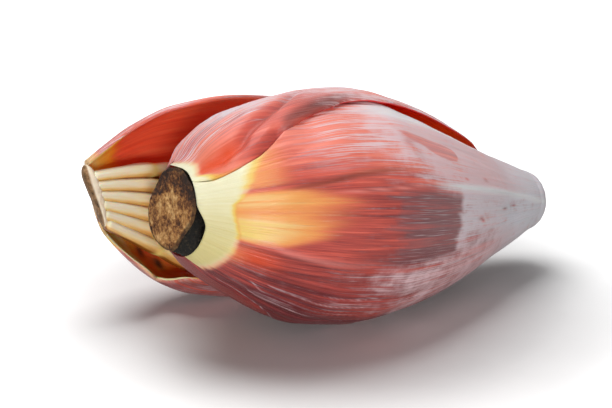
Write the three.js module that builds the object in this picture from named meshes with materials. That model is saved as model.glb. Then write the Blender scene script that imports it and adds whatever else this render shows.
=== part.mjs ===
// Banana blossom, picked and lying on its side, with its outermost bract come loose behind it.
// Millimetres. +X runs along the bud from the cut stem to the nose, +Z is up.
//
// The bud is described in its own frame: x along its axis from the stem junction, and an angle
// around that axis, 0 at the top, 90 degrees on the front (-Y), 180 at the belly, -90 at the back.
// Its surface is a family of nested skins: depth 0 is the outside, and a larger depth lies inside.

import * as THREE from 'three';
import { mergeVertices } from 'three/addons/utils/BufferGeometryUtils.js';

// ---------------------------------------------------------------- driving dimensions
const BUD_LENGTH = 215;            // stem junction to nose
const BUD_RADIUS = 54;             // at the fullest ring
const BUD_PITCH = 9.8;             // nose below the stem, degrees
const BUD_BASE = [-81.6, -21.1, 69.0]; // stem junction above the surface it lies on
const NOSE_START = 203;            // where the blunt, rounded nose begins
const NOSE_RADIUS = 17.2;

const BRACT_THICKNESS = 2.0;
const BRACT_GAP = 0.8;             // between one bract and the next
const UNDERLAP_DEPTH = BRACT_THICKNESS + BRACT_GAP;
const HOOD_RECESS = 3.1;           // front bract below the back bract's hood
const HOOD_LIFT = 1.3;             // extra clearance where the hood stands open
const CREST_RISE = 2.2;            // the back bract stands proud along the top
const LOBE_RISE = 5.5;             // puckered lobe of the back bract beside the stem

const INNER_DEPTH_1 = 7.0;         // outside of the first inner bract
const INNER_DEPTH_2 = 9.6;
const INNER_THICKNESS = 1.8;
const HEART_DEPTH = 12.2;          // outside of the unopened heart
const NOSE_PACKING = 3.6;          // all of them lie this much closer to the outside at the nose

const STEM_STUB = 6.5;             // cut face to stem junction
const STEM_RADIUS = 18.0;
const STEM_CORE_RADIUS = 13.6;     // inside the bract bases
const STEM_CORE_LENGTH = 10.4;
const JUNCTION_GAP = 0.35;

const LOOSE_LENGTH = 172;          // loose bract, scar to tip
const LOOSE_BASE_X = -93.5;
const LOOSE_THICKNESS = 2.4;
const LOOSE_HEEL = 4.5;            // how far its lower base corner is set back from the scar

const FLORETS_FRONT = 6;
const FLORETS_REAR = 5;
const FLORET_LENGTH = 62;
const FLORET_RADIUS = 3.3;
const ROW_TOP = [3.4, 38.0, 72.6]; // first floret's base, in the loose bract's frame
const ROW_BOTTOM = [4.6, 30.8, 50.4];
const REAR_ROW_OFFSET = 5.4;       // rear row behind the front row

// ---------------------------------------------------------------- small helpers
const radians = THREE.MathUtils.degToRad;
const lerp = THREE.MathUtils.lerp;
const ramp = (x, from, to) => THREE.MathUtils.smoothstep((x - from) / (to - from), 0, 1);

// Smooth curve through a few [position, value] pairs, with no overshoot between them.
function curveThrough(points) {
  const count = points.length;
  const step = [];
  const slope = [];
  for (let i = 0; i < count - 1; i += 1) {
    step.push(points[i + 1][0] - points[i][0]);
    slope.push((points[i + 1][1] - points[i][1]) / step[i]);
  }
  const tangent = [slope[0]];
  for (let i = 1; i < count - 1; i += 1) {
    const before = slope[i - 1];
    const after = slope[i];
    const turns = before * after <= 0;
    const weightBefore = 2 * step[i] + step[i - 1];
    const weightAfter = step[i] + 2 * step[i - 1];
    const mean = (weightBefore + weightAfter) / (weightBefore / before + weightAfter / after);
    tangent.push(turns ? 0 : mean);
  }
  tangent.push(slope[count - 2]);

  return (position) => {
    const x = THREE.MathUtils.clamp(position, points[0][0], points[count - 1][0]);
    let i = 0;
    while (i < count - 2 && x > points[i + 1][0]) i += 1;
    const t = (x - points[i][0]) / step[i];
    const startWeight = (1 + 2 * t) * (1 - t) ** 2;
    const endWeight = t * t * (3 - 2 * t);
    const startPull = t * (1 - t) ** 2 * step[i] * tangent[i];
    const endPull = t * t * (t - 1) * step[i] * tangent[i + 1];
    return startWeight * points[i][1] + endWeight * points[i + 1][1] + startPull + endPull;
  };
}

// Evenly spaced numbers from 0 to 1, closer together towards both ends.
function easedSteps(count) {
  const steps = [];
  for (let i = 0; i <= count; i += 1) {
    const even = i / count;
    const eased = 0.5 - 0.5 * Math.cos(Math.PI * even);
    steps.push(lerp(even, eased, 0.55));
  }
  return steps;
}

// ---------------------------------------------------------------- solids from rings
// Joins rings of points into one closed solid. An end is capped by a fan for a round ring, or by
// a strip for a thin ring, whose second half runs back along its first half.
function loft(rings, capStyle) {
  const size = rings[0].length;
  const positions = rings.flat(2);
  const triangles = [];
  const at = (ring, k) => ring * size + (k % size);
  for (let ring = 0; ring < rings.length - 1; ring += 1) {
    for (let k = 0; k < size; k += 1) {
      triangles.push([at(ring, k), at(ring, k + 1), at(ring + 1, k + 1)]);
      triangles.push([at(ring, k), at(ring + 1, k + 1), at(ring + 1, k)]);
    }
  }
  const last = rings.length - 1;
  if (capStyle === 'fan') {
    [0, last].forEach((ring) => {
      const centre = [0, 1, 2].map((axis) => rings[ring].reduce((sum, p) => sum + p[axis], 0) / size);
      const hub = positions.length / 3;
      positions.push(...centre);
      for (let k = 0; k < size; k += 1) {
        const rim = [at(ring, k), at(ring, k + 1)];
        triangles.push(ring === 0 ? [hub, rim[1], rim[0]] : [hub, rim[0], rim[1]]);
      }
    });
  } else {
    const half = size / 2;
    [0, last].forEach((ring) => {
      for (let k = 0; k < half - 1; k += 1) {
        const quad = [at(ring, k), at(ring, k + 1), at(ring, size - 2 - k), at(ring, size - 1 - k)];
        const [a, b, c, d] = ring === 0 ? [quad[3], quad[2], quad[1], quad[0]] : quad;
        triangles.push([a, b, c], [a, c, d]);
      }
    });
  }
  return closedGeometry(positions, triangles);
}

// Merges shared corners, drops triangles that have shrunk to a line, and faces the rest outward.
function closedGeometry(positions, triangles) {
  const loose = new THREE.BufferGeometry();
  loose.setAttribute('position', new THREE.Float32BufferAttribute(positions, 3));
  loose.setIndex(triangles.flat());
  const merged = mergeVertices(loose, 1e-3);
  const index = merged.getIndex().array;
  const corner = (k) => new THREE.Vector3().fromBufferAttribute(merged.getAttribute('position'), k);
  const kept = [];
  let volume = 0;
  for (let i = 0; i < index.length; i += 3) {
    const [a, b, c] = index.slice(i, i + 3);
    if (a !== b && b !== c && a !== c) {
      kept.push([a, b, c]);
      volume += corner(a).dot(corner(b).cross(corner(c)));
    }
  }
  merged.setIndex(kept.map(([a, b, c]) => (volume > 0 ? [a, b, c] : [a, c, b])).flat());
  merged.computeVertexNormals();
  return merged;
}

// A sheet with thickness: side 0 is its outside and side 1 its inside.
function sheet(lengthSteps, widthSteps, pointAt) {
  const rings = easedSteps(lengthSteps).map((along) => {
    const ring = [];
    for (let k = 0; k <= widthSteps; k += 1) ring.push(pointAt(along, k / widthSteps, 0));
    for (let k = widthSteps; k >= 0; k -= 1) ring.push(pointAt(along, k / widthSteps, 1));
    return ring;
  });
  return loft(rings, 'strip');
}

function piece(name, geometry, colour, roughness) {
  const material = new THREE.MeshStandardMaterial({ color: colour, roughness, metalness: 0 });
  const mesh = new THREE.Mesh(geometry, material);
  mesh.name = name;
  return mesh;
}

// ---------------------------------------------------------------- the bud's nested skins
const budProfile = curveThrough([
  [0, 19.2], [4, 25], [10, 32], [17, 38], [26, 43.5], [41, 48.5], [61, 53], [85, BUD_RADIUS],
  [110, 49.5], [135, 42.5], [157, 34.5], [176, 26.5], [191, 21.5], [NOSE_START, NOSE_RADIUS],
]);

function budRadius(along) {
  if (along <= NOSE_START) return budProfile(along);
  const past = Math.min(1, (along - NOSE_START) / (BUD_LENGTH - NOSE_START));
  return NOSE_RADIUS * Math.sqrt(1 - past * past);
}

// The axis sags a little in the middle.
function axisHeight(along) {
  const turn = (Math.PI * along) / BUD_LENGTH;
  return -1.7 * Math.sin(turn) + Math.sin(2 * turn);
}

// Height of the surface that the bud lies on, in the bud's own tilted frame.
function restingHeight(x) {
  const pitch = radians(BUD_PITCH);
  return (x * Math.sin(pitch) - BUD_BASE[2]) / Math.cos(pitch);
}

function budPoint(along, angle, depth) {
  const scale = 1 - depth / BUD_RADIUS;
  const x = 0.9 * depth + (along * (BUD_LENGTH - 1.9 * depth)) / BUD_LENGTH;
  const radius = budRadius(along) * scale;
  const y = -radius * Math.sin(radians(angle));
  const z = radius * Math.cos(radians(angle)) + axisHeight(along);
  return [x, y, Math.max(z, restingHeight(x))];
}

// ---------------------------------------------------------------- bract margins, by angle
const frontUpperMargin = curveThrough([
  [0, 48], [10, 44], [20, 39], [40, 27], [60, 20], [83, 14.5], [115, 2], [150, -6], [175, -12],
  [190, -30], [BUD_LENGTH, -60],
]);
const frontLowerMargin = curveThrough([
  [0, 167], [20, 160], [40, 167], [65, 182], [95, 194], [150, 202], [190, 215], [BUD_LENGTH, 235],
]);
const hoodLip = curveThrough([
  [0, 62], [20, 55], [40, 40], [60, 24], [67, 17.2], [72, 15.5], [80, 13.6], [95, 11], [115, 5],
  [135, 5], [158, 8], [172, -4], [183, -22], [195, -52], [206, -85],
]);
const backLowerMargin = curveThrough([
  [0, -205], [20, -210], [60, -192], [95, -178], [150, -170], [190, -140], [206, -95],
]);

// The front bract lies lower where the hood of the back bract passes over it.
function frontDepth(along, angle) {
  const hooded = ramp(along, 68, 80) * (1 - ramp(along, 182, 192));
  const open = ramp(along, 92, 120) * (1 - ramp(along, 135, 165));
  const underLip = 1 - ramp(angle, hoodLip(along) + 3, hoodLip(along) + 26);
  return hooded * underLip * (HOOD_RECESS + HOOD_LIFT * open);
}

// The back bract tucks under both margins of the front bract, except where it lifts as a hood.
function backDepth(along, angle) {
  const upper = frontUpperMargin(along);
  const lower = frontLowerMargin(along) - 360;
  const tuckTop = ramp(angle, upper - 13, upper - 3) * (1 - ramp(along, 72, 80));
  const tuckBelly = 1 - ramp(angle, lower + 3, lower + 13);
  const lobeAlong = ramp(along, 0, 8) * (1 - ramp(along, 10, 30));
  const lobeAround = ramp(angle, -75, -20) * (1 - ramp(angle, -5, 32));
  const crestAlong = ramp(along, 35, 65) * (1 - ramp(along, 125, 165));
  const crestEdge = lerp(14, 40, ramp(along, 72, 84));
  const crestAround = ramp(angle, -65, -15) * (1 - ramp(angle, crestEdge - 18, crestEdge));
  const tuck = UNDERLAP_DEPTH * Math.max(tuckTop, tuckBelly);
  return tuck - LOBE_RISE * lobeAlong * lobeAround - CREST_RISE * crestAlong * crestAround;
}

function budBract(options) {
  const { end, from, to, depth, thickness, lengthSteps, widthSteps } = options;
  return sheet(lengthSteps, widthSteps, (u, v, side) => {
    const along = u * end;
    const angle = lerp(from(along), to(along), v);
    return budPoint(along, angle, depth(along, angle) + side * thickness);
  });
}

function frontBract() {
  return budBract({
    end: BUD_LENGTH,
    from: frontUpperMargin,
    to: frontLowerMargin,
    depth: frontDepth,
    thickness: BRACT_THICKNESS,
    lengthSteps: 30,
    widthSteps: 22,
  });
}

function backBract() {
  return budBract({
    end: 206,
    from: backLowerMargin,
    to: hoodLip,
    depth: backDepth,
    thickness: BRACT_THICKNESS,
    lengthSteps: 30,
    widthSteps: 26,
  });
}

function innerDepth(depth, along) {
  return depth - NOSE_PACKING * ramp(along, 188, NOSE_START);
}

// Inner bracts wrap wide at the base and narrow towards the nose, each opening to another side.
function innerBract(depth, middle) {
  const halfWidth = curveThrough([[0, 150], [120, 140], [190, 125], [BUD_LENGTH, 115]]);
  return budBract({
    end: BUD_LENGTH,
    from: (along) => middle - halfWidth(along),
    to: (along) => middle + halfWidth(along),
    depth: (along) => innerDepth(depth, along),
    thickness: INNER_THICKNESS,
    lengthSteps: 14,
    widthSteps: 18,
  });
}

function heart() {
  const sides = 20;
  const rings = easedSteps(14).map((u) => {
    const along = u * BUD_LENGTH;
    const ring = [];
    for (let k = 0; k < sides; k += 1) {
      ring.push(budPoint(along, (360 * k) / sides, innerDepth(HEART_DEPTH, along)));
    }
    return ring;
  });
  return loft(rings, 'fan');
}

// ---------------------------------------------------------------- the cut stem
// Egg-shaped in section: a little taller than wide, and narrower at the top.
function stemRing(x, radius, eggShape) {
  const sides = 28;
  const ring = [];
  for (let k = 0; k < sides; k += 1) {
    const angle = (2 * Math.PI * k) / sides;
    const height = radius * Math.cos(angle) * (1 + 0.05 * eggShape);
    const width = radius * Math.sin(angle) * (1 - eggShape * (0.03 + 0.12 * Math.cos(angle)));
    ring.push([x, -width, height]);
  }
  return ring;
}

function peduncle() {
  return loft([
    stemRing(-STEM_STUB, STEM_RADIUS * 0.96, 1),
    stemRing(-STEM_STUB + 1, STEM_RADIUS, 1),
    stemRing(-2.5, STEM_RADIUS, 1),
    stemRing(-JUNCTION_GAP, STEM_RADIUS + 0.6, 0.6),
    stemRing(-JUNCTION_GAP, STEM_CORE_RADIUS, 0),
    stemRing(STEM_CORE_LENGTH, STEM_CORE_RADIUS, 0),
  ], 'fan');
}

// ---------------------------------------------------------------- the loose bract
// An open boat on its side, its hollow facing the bud. Each section across it is part of an
// ellipse, whose angle runs from 0 at the bottom over 90 at the back to 180 at the top.
const looseTop = curveThrough([
  [0, 79.6], [11.5, 88], [25.5, 94.4], [44, 99.4], [63, 100.2], [100, 95], [125, 86],
  [150, 71], [LOOSE_LENGTH, 46],
]);
const looseBottom = curveThrough([
  [0, 46.8], [7.5, 36.5], [16.5, 26.8], [24, 20], [33.5, 12.2], [43.5, 6.5], [56, 2.6], [70, -0.4],
  [90, -0.4], [115, 4], [145, 20], [LOOSE_LENGTH, 40],
]);
const looseSide = curveThrough([
  [0, 36], [16.5, 36], [33.5, 35], [45, 33], [60, 31], [93.5, 32], [133.5, 32], [LOOSE_LENGTH, 29],
]);
const looseHollow = curveThrough([
  [0, 10.4], [7.5, 14.5], [16.5, 18.5], [33.5, 24], [53.5, 28], [93.5, 30], [133.5, 23],
  [160, 11], [LOOSE_LENGTH, 2.4],
]);
const looseLowerMargin = curveThrough([
  [0, 4], [16.5, -12], [23, -10], [33, -38], [43, -43], [75, -36], [120, -25], [LOOSE_LENGTH, -5],
]);
const looseUpperMargin = curveThrough([[0, 184], [30, 178], [100, 176], [LOOSE_LENGTH, 184]]);
const looseLean = curveThrough([[0, 4], [40, 0], [LOOSE_LENGTH, 0]]);

function loosePoint(x, angle, inset) {
  const middle = (looseTop(x) + looseBottom(x)) / 2;
  const halfHeight = (looseTop(x) - looseBottom(x)) / 2 - inset;
  const hollow = looseHollow(x) - inset;
  const lean = looseLean(x) * Math.cos(radians(angle));
  const y = looseSide(x) - lean + hollow * Math.sin(radians(angle));
  const z = middle - halfHeight * Math.cos(radians(angle));
  return [x, y, Math.max(z, 0)];
}

function looseBract() {
  return sheet(26, 20, (u, v, side) => {
    const even = u * LOOSE_LENGTH;
    const angle = lerp(looseLowerMargin(even), looseUpperMargin(even), v);
    const x = even + LOOSE_HEEL * (1 - u) * (1 - ramp(angle, 80, 165));
    const inset = side * Math.min(LOOSE_THICKNESS, 0.4 * looseHollow(x));
    return loosePoint(x, angle, inset);
  });
}

// ---------------------------------------------------------------- the hand of florets
const rowTop = new THREE.Vector3(...ROW_TOP);
const rowBottom = new THREE.Vector3(...ROW_BOTTOM);

// A tube of changing radius along a curve.
function taperedTube(curve, radiusAt, lengthSteps, sides) {
  const rings = [];
  for (let i = 0; i <= lengthSteps; i += 1) {
    const along = i / lengthSteps;
    const centre = curve.getPoint(along);
    const forward = curve.getTangent(along);
    const across = new THREE.Vector3(0, 1, 0).cross(forward).normalize();
    const up = new THREE.Vector3().crossVectors(forward, across);
    const ring = [];
    for (let k = 0; k < sides; k += 1) {
      const angle = (2 * Math.PI * k) / sides;
      const point = centre.clone();
      point.addScaledVector(across, radiusAt(along) * Math.cos(angle));
      point.addScaledVector(up, radiusAt(along) * Math.sin(angle));
      ring.push(point.toArray());
    }
    rings.push(ring);
  }
  return loft(rings, 'fan');
}

const floretThickness = curveThrough([
  [0, 0.66], [0.12, 0.68], [0.45, 0.93], [0.62, 0.98], [0.7, 0.9], [0.85, 0.95], [0.96, 0.66],
  [1, 0.3],
]);

// place runs from 0 for the uppermost floret to 1 for the lowest.
function floret(place, behind) {
  const base = rowTop.clone().lerp(rowBottom, place);
  base.y += behind;
  const startPitch = radians(lerp(-1, -33, place));
  const endPitch = radians(lerp(-13, -34, place));
  const reach = FLORET_LENGTH / 2;
  const drift = behind > 0 ? 0.1 : 0.05;
  const bend = base.clone();
  bend.add(new THREE.Vector3(Math.cos(startPitch), drift, Math.sin(startPitch)).multiplyScalar(reach));
  const tip = bend.clone();
  tip.add(new THREE.Vector3(Math.cos(endPitch), drift, Math.sin(endPitch)).multiplyScalar(reach));
  const centreLine = new THREE.QuadraticBezierCurve3(base, bend, tip);
  return taperedTube(centreLine, (along) => FLORET_RADIUS * floretThickness(along), 12, 8);
}

// The pad that carries both rows and ends in the scar.
function floretCushion() {
  const sections = [0, 0.2, 0.5, 0.8, 1].map((place) => {
    const middle = rowTop.clone().lerp(rowBottom, place);
    const bulge = Math.sin(Math.PI * place);
    const near = middle.y - 2.8 - 0.5 * bulge;
    const scarFar = middle.y + lerp(3.2, 2.4, place) + 2.2 * bulge;
    const farSide = middle.y + lerp(5, 6, place) + 2 * bulge;
    const left = lerp(-0.6, 0.6, place);
    const setBack = left + lerp(1, 2.6, place);
    const right = middle.x - lerp(0.8, 1.7, place);
    const z = lerp(rowTop.z + 2.6, rowBottom.z - 0.8, place);
    return [[left, near, z], [right, near, z], [right, farSide, z], [setBack, scarFar, z]];
  });
  return loft(sections, 'fan');
}

// ---------------------------------------------------------------- assembly
const RED = 0xa83a3c;
const DEEP_RED = 0x8f3040;
const INNER_RED = 0xb24a45;
const CREAM = 0xe9dcb4;
const BROWN = 0x5b3d25;

const bud = new THREE.Group();
bud.position.set(...BUD_BASE);
bud.rotation.y = radians(BUD_PITCH);
bud.add(
  piece('peduncle', peduncle(), BROWN, 0.9),
  piece('front_bract', frontBract(), RED, 0.5),
  piece('back_bract', backBract(), DEEP_RED, 0.5),
  piece('inner_bract_1', innerBract(INNER_DEPTH_1, 200), INNER_RED, 0.5),
  piece('inner_bract_2', innerBract(INNER_DEPTH_2, 60), INNER_RED, 0.5),
  piece('bud_heart', heart(), CREAM, 0.6),
);

const looseHand = new THREE.Group();
looseHand.position.x = LOOSE_BASE_X;
looseHand.add(
  piece('loose_bract', looseBract(), RED, 0.4),
  piece('floret_cushion', floretCushion(), CREAM, 0.6),
);
for (let i = 0; i < FLORETS_FRONT; i += 1) {
  const place = i / (FLORETS_FRONT - 1);
  looseHand.add(piece(`floret_front_${i + 1}`, floret(place, 0), CREAM, 0.5));
}
for (let i = 0; i < FLORETS_REAR; i += 1) {
  const place = (i + 0.5) / (FLORETS_FRONT - 1);
  looseHand.add(piece(`floret_rear_${i + 1}`, floret(place, REAR_ROW_OFFSET), CREAM, 0.5));
}

// The origin is the middle of the footprint, on the surface the blossom lies on.
const blossom = new THREE.Group();
blossom.add(bud, looseHand);
const extent = new THREE.Box3().setFromObject(blossom, true);
const middle = extent.getCenter(new THREE.Vector3());
blossom.position.set(-middle.x, -middle.y, -extent.min.z);

export default blossom;
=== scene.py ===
"""Banana blossom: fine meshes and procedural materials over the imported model, with camera and light.

Shapes are worked out in millimetres, in the bud's own frame or in the loose bract's, and turned
into metres in the row frame as each mesh is made. On the bud, along runs from the stem junction
to the nose, and angle runs round the axis: 0 at the top, 90 on the front, 180 at the belly. On
the loose bract, along runs from its scar to its tip, and angle from 0 at the bottom over 90 at
the back to 180 at the top.
"""
import math

import bmesh
import bpy
import numpy as np
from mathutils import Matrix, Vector


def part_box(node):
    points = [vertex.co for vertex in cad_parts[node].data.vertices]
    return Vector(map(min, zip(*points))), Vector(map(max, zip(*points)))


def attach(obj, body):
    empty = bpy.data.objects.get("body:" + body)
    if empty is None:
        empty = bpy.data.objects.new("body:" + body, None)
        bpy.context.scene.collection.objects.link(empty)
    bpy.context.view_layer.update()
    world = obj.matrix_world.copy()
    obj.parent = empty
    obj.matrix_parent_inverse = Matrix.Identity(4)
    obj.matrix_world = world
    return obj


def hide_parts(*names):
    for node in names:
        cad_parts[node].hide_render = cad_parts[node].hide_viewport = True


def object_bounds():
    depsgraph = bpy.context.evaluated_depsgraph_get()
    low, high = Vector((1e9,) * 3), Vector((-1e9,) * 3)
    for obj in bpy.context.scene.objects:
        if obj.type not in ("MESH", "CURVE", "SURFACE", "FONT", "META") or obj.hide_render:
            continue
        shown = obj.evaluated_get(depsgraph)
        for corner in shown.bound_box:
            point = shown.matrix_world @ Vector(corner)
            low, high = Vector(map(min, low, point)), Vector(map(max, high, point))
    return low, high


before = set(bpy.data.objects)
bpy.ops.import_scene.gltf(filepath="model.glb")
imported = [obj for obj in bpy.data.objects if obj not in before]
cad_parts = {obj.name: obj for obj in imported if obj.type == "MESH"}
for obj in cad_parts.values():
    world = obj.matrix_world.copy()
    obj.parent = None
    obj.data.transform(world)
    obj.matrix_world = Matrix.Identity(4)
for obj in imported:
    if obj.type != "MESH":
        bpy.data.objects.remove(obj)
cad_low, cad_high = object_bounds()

# -------- driving dimensions
MM = 0.001
BUD_LENGTH = 215.0
BUD_RADIUS = 54.0
BUD_PITCH = math.radians(9.8)
JUNCTION_HEIGHT = 69.0        # stem junction above the floor
JUNCTION_AHEAD = 11.9         # stem junction ahead of the loose bract's scar end
JUNCTION_SIDE = -21.1         # bud axis from the loose bract's own zero
NOSE_START = 203.0
NOSE_RADIUS = 17.2
NOSE_PACKING = 3.6            # inner skins lie this much closer to the outside at the nose

BUD_SAG = 1.7                 # the axis hangs this much at the middle
SKIN_START = 0.9              # a skin starts further in by this much of its depth
SKIN_SHORTER = 1.9            # and is shorter by this much of it

BRACT_THICKNESS = 2.0
UNDERLAP_DEPTH = 2.8
INNER_BRACTS = ((7.0, 200), (9.6, 60))  # depth of the outside, angle of the middle
INNER_THICKNESS = 1.8
HEART_DEPTH = 12.2
LOBE_RISE = 1.2
SLEEVE = 6.2                  # how far the bract bases reach back over the stem
UNDER_PINCH = 4.8             # the belly is drawn in below the stem
NOSE_PINCH = 2.4              # and below the nose
BACK_BRACT_END = 206.0

LOOSE_LENGTH = 172.0
LOOSE_THICKNESS = 2.4
LOOSE_HEEL = 4.5
LOOSE_FLARE = 5.0             # the low rim turns towards the front

STEM_STUB = 6.5
STEM_RADIUS = 18.0
STEM_FLATTENING = 0.93
STEM_CORE_RADIUS = 13.6
STEM_CORE_LENGTH = 10.4
STEM_FLANK_END = 1.5          # where the flank stops, past the junction
# Share of the radius, angle and width in degrees of each lump or hollow of the cut face.
STEM_LUMPS = ((0.13, 68, 26), (-0.13, 300, 30), (0.06, 236, 26), (-0.13, 126, 24), (0.04, 22, 24))

FLORET_COUNT = 6
FLORET_LENGTH = 62.0
FLORET_RADIUS = 3.35
ROW_TOP = np.array([0.6, 38.0, 70.6])
ROW_BOTTOM = np.array([2.6, 30.8, 49.6])
REAR_ROW_OFFSET = 5.4

front_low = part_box("front_bract")[0]
loose_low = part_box("loose_bract")[0]
AXIS_Y = front_low.y / MM + BUD_RADIUS
LOOSE_ORIGIN = np.array([loose_low.x / MM, AXIS_Y - JUNCTION_SIDE, cad_low.z / MM])
BUD_ORIGIN = np.array([loose_low.x / MM + JUNCTION_AHEAD, AXIS_Y, cad_low.z / MM + JUNCTION_HEIGHT])


# -------- small helpers
def unit(x):
    return np.clip(x, 0.0, 1.0)


def ramp(x, start, stop):
    t = unit((x - start) / (stop - start))
    return t * t * (3.0 - 2.0 * t)


def fall(x, start, stop):
    """1 before start, 0 after stop."""
    return 1 - ramp(x, start, stop)


def span(x, start, full, fading, gone):
    """1 from full to fading, 0 before start and after gone."""
    return ramp(x, start, full) * fall(x, fading, gone)


def bump(x, width):
    return np.exp(-((x / width) ** 2))


def crease(x, width):
    """A ridge that comes to an edge at x = 0."""
    return np.exp(-np.abs(x) / width)


def lerp(a, b, t):
    return a + (b - a) * t


def curve(*points):
    """Smooth curve through a few (position, value) pairs, with no overshoot between them."""
    xs, ys = np.array(points, float).T
    step = np.diff(xs)
    slope = np.diff(ys) / step
    tangent = np.empty_like(ys)
    tangent[0], tangent[-1] = slope[0], slope[-1]
    for i in range(1, len(xs) - 1):
        before, after = slope[i - 1], slope[i]
        weight_before = 2 * step[i] + step[i - 1]
        weight_after = step[i] + 2 * step[i - 1]
        turns = before * after <= 0
        spread = 1.0 if turns else weight_before / before + weight_after / after
        tangent[i] = 0.0 if turns else (weight_before + weight_after) / spread

    def value(position):
        x = np.clip(position, xs[0], xs[-1])
        i = np.clip(np.searchsorted(xs, x) - 1, 0, len(step) - 1)
        t = (x - xs[i]) / step[i]
        start = (1 + 2 * t) * (1 - t) ** 2 * ys[i] + t * (1 - t) ** 2 * step[i] * tangent[i]
        end = t * t * (3 - 2 * t) * ys[i + 1] + t * t * (t - 1) * step[i] * tangent[i + 1]
        return start + end

    return value


def streaks(angle, along, cell_angle, cell_along, seed):
    """Smooth seeded noise from -1 to 1, in cells that are long along the ribs."""
    table = np.random.default_rng(seed).uniform(-1.0, 1.0, (128, 128))
    u, v = np.broadcast_arrays(angle / cell_angle, along / cell_along)
    i, j = np.floor(u).astype(int), np.floor(v).astype(int)
    s, t = ramp(u - i, 0, 1), ramp(v - j, 0, 1)
    near = lerp(table[i % 128, j % 128], table[(i + 1) % 128, j % 128], s)
    far = lerp(table[i % 128, (j + 1) % 128], table[(i + 1) % 128, (j + 1) % 128], s)
    return lerp(near, far, t)


def eased(count, ease=0.5):
    """Steps from 0 to 1, closer together towards both ends."""
    even = np.linspace(0.0, 1.0, count + 1)
    return lerp(even, 0.5 - 0.5 * np.cos(math.pi * even), ease)


# -------- meshes
def grid_quads(index):
    corners = (index[:-1, :-1], index[:-1, 1:], index[1:, 1:], index[1:, :-1])
    return np.stack([c.ravel() for c in corners], axis=1)


def add_object(name, data):
    thing = bpy.data.objects.new(name, data)
    bpy.context.scene.collection.objects.link(thing)
    return thing


def make_mesh(name, points, faces, slots, marks, materials):
    """A closed, smooth mesh in metres. Marks are named numbers that its materials read."""
    mesh = bpy.data.meshes.new(name)
    mesh.from_pydata((points * MM).tolist(), [], faces.tolist())
    for mark, values in marks.items():
        layer = mesh.attributes.new(mark, "FLOAT", "POINT")
        layer.data.foreach_set("value", np.ascontiguousarray(values, np.float32).ravel())
    for material in materials:
        mesh.materials.append(material)
    mesh.polygons.foreach_set("material_index", slots)
    shape = bmesh.new()
    shape.from_mesh(mesh)
    bmesh.ops.remove_doubles(shape, verts=shape.verts, dist=1e-7)
    bmesh.ops.dissolve_degenerate(shape, edges=shape.edges, dist=1e-8)
    alone = [v for v in shape.verts if not v.link_faces]
    bmesh.ops.delete(shape, geom=alone, context="VERTS")
    shape.to_mesh(mesh)
    shape.free()
    mesh.shade_smooth()
    return add_object(name, mesh)


def sheet(name, outer, inner, marks, materials):
    """A closed sheet from the grids of its two sides, which meet along both margins."""
    rows, columns = outer.shape[:2]
    front = np.arange(rows * columns).reshape(rows, columns)
    back = front + rows * columns
    back[:, 0], back[:, -1] = front[:, 0], front[:, -1]
    base = np.stack([front[0], back[0]])
    tip = np.stack([back[-1], front[-1]])
    parts = [grid_quads(front)]
    parts += [grid_quads(index)[:, ::-1] for index in (back, base, tip)]
    slots = np.concatenate([np.full(len(part), i == 1, int) for i, part in enumerate(parts)])
    points = np.concatenate([outer.reshape(-1, 3), inner.reshape(-1, 3)])
    both = {mark: np.tile(np.broadcast_to(v, outer.shape[:2]).ravel(), 2) for mark, v in marks.items()}
    return make_mesh(name, points, np.concatenate(parts), slots, both, materials)


def tube(name, rings, marks, materials):
    """A closed solid from rings of points, capped by a fan at each end."""
    rows, sides = rings.shape[:2]
    index = np.arange(rows * sides).reshape(rows, sides)
    wrapped = np.concatenate([index, index[:, :1]], axis=1)
    hubs = np.stack([rings[0].mean(0), rings[-1].mean(0)])
    first, last = rows * sides, rows * sides + 1
    quads = grid_quads(wrapped)
    pole = np.full(sides, first)
    start = np.stack([pole, wrapped[0, 1:], wrapped[0, :-1], pole], axis=1)
    pole = np.full(sides, last)
    end = np.stack([pole, wrapped[-1, :-1], wrapped[-1, 1:], pole], axis=1)
    faces = quads.tolist() + start[:, :3].tolist() + end[:, :3].tolist()
    points = np.concatenate([rings.reshape(-1, 3), hubs])
    ends = {}
    for mark, values in marks.items():
        values = np.broadcast_to(values, (rows, sides))
        ends[mark] = np.concatenate([values.ravel(), [values[0].mean(), values[-1].mean()]])
    slots = np.zeros(len(faces), int)
    return make_mesh(name, points, np.array(faces, dtype=object), slots, ends, materials)


def rounded_rim(depth, thickness, distance):
    """Depths of a sheet's two sides, which close in a round rim at no distance from its margin."""
    round_off = np.sqrt(1.0 - (1.0 - unit(distance / (0.7 * thickness))) ** 2)
    half = 0.5 * thickness * (1.0 - round_off)
    return depth + half, depth + thickness - half


# -------- the bud's nested skins
# From 41 mm on, this follows a scratch program's least-squares fit of the photo's outline.
bud_profile = curve(
    (-6.5, 18.9), (-3, 19.9), (0, 21.8), (4, 26), (10, 32.3), (17, 38), (26, 43.5), (41, 48.5),
    (61, 53), (85, BUD_RADIUS), (110, 49.5), (135, 42.5), (157, 34.5), (176, 26.5), (191, 21.5),
    (NOSE_START, NOSE_RADIUS),
)


def bud_radius(along):
    past = unit((along - NOSE_START) / (BUD_LENGTH - NOSE_START))
    return bud_profile(along) * np.sqrt(1.0 - past * past)


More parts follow.
